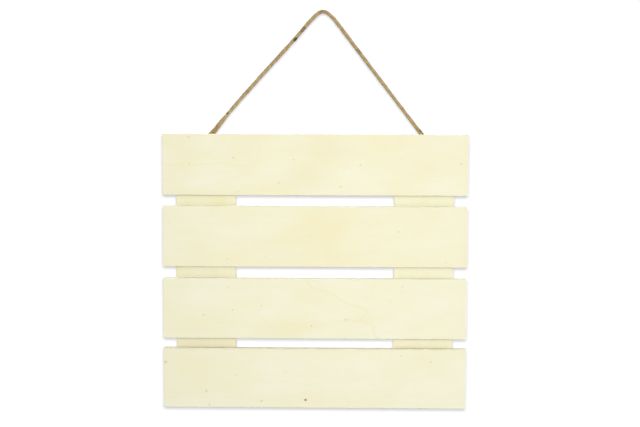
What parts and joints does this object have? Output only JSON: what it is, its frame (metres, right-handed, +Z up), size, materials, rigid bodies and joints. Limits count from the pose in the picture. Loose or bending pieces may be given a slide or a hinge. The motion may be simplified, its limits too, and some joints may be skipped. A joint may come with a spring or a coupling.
{
  "type": "wooden door plaque",
  "caption": "Slatted plaque of pale bare boards stapled across upright battens, hung from a hook on a door or wall by a loop of jute twine.",
  "frame": {"origin": "the hanging point: on the hook's axis where the inner side of the twine's crest rests on it, in the plane of the battens' backs", "axes": "+Z up as the plaque hangs, -Y out of its face towards the viewer, +X to the viewer's right"},
  "size_m": [0.3, 0.0138, 0.3926],
  "materials": {
    "slat_wood": "bare sanded, pale cream, fine straight grain with small pin knots",
    "batten_wood": "bare sanded, pale cream, a little deeper than the slats",
    "jute_twine": "dry twisted plant fibre, straw brown",
    "staple_wire": "bright galvanised wire"
  },
  "bodies": {
    "root": {"top_slat": "slat_wood", "upper_slat": "slat_wood", "lower_slat": "slat_wood", "bottom_slat": "slat_wood", "left_batten": "batten_wood", "right_batten": "batten_wood", "hanging_cord": "jute_twine", "slat_staples": "staple_wire", "cord_staples": "staple_wire"}
  },
  "joints": []
}
